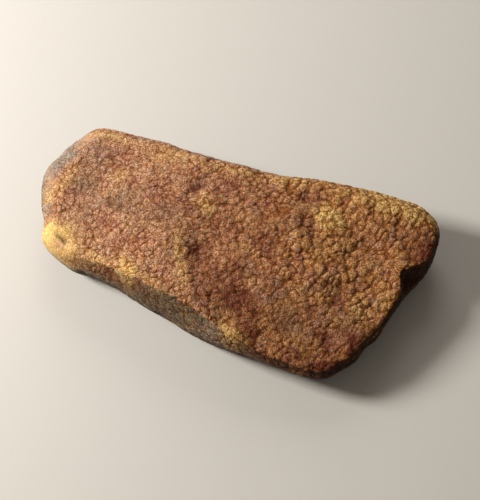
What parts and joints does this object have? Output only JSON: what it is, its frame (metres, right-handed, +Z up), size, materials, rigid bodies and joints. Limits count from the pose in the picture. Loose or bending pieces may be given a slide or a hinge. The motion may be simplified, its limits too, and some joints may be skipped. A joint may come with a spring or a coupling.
{
  "type": "raw amber piece",
  "caption": "Flat, long piece of raw amber with a cobbled weathered crust, a slanted front facet and a bite out of one end.",
  "frame": {"origin": "on the resting plane, below the middle of the piece's bounding box", "axes": "+X along the piece, from the rounded narrow end to the wide end with the bite; +Y across it, from the side with the slanted facet to the straight side; +Z up"},
  "size_m": [0.08, 0.0416, 0.0128],
  "materials": {
    "amber_crust": "dull weathered crust, ochre to plum brown, opaque"
  },
  "bodies": {
    "root": {"amber_piece": "amber_crust"}
  },
  "joints": []
}
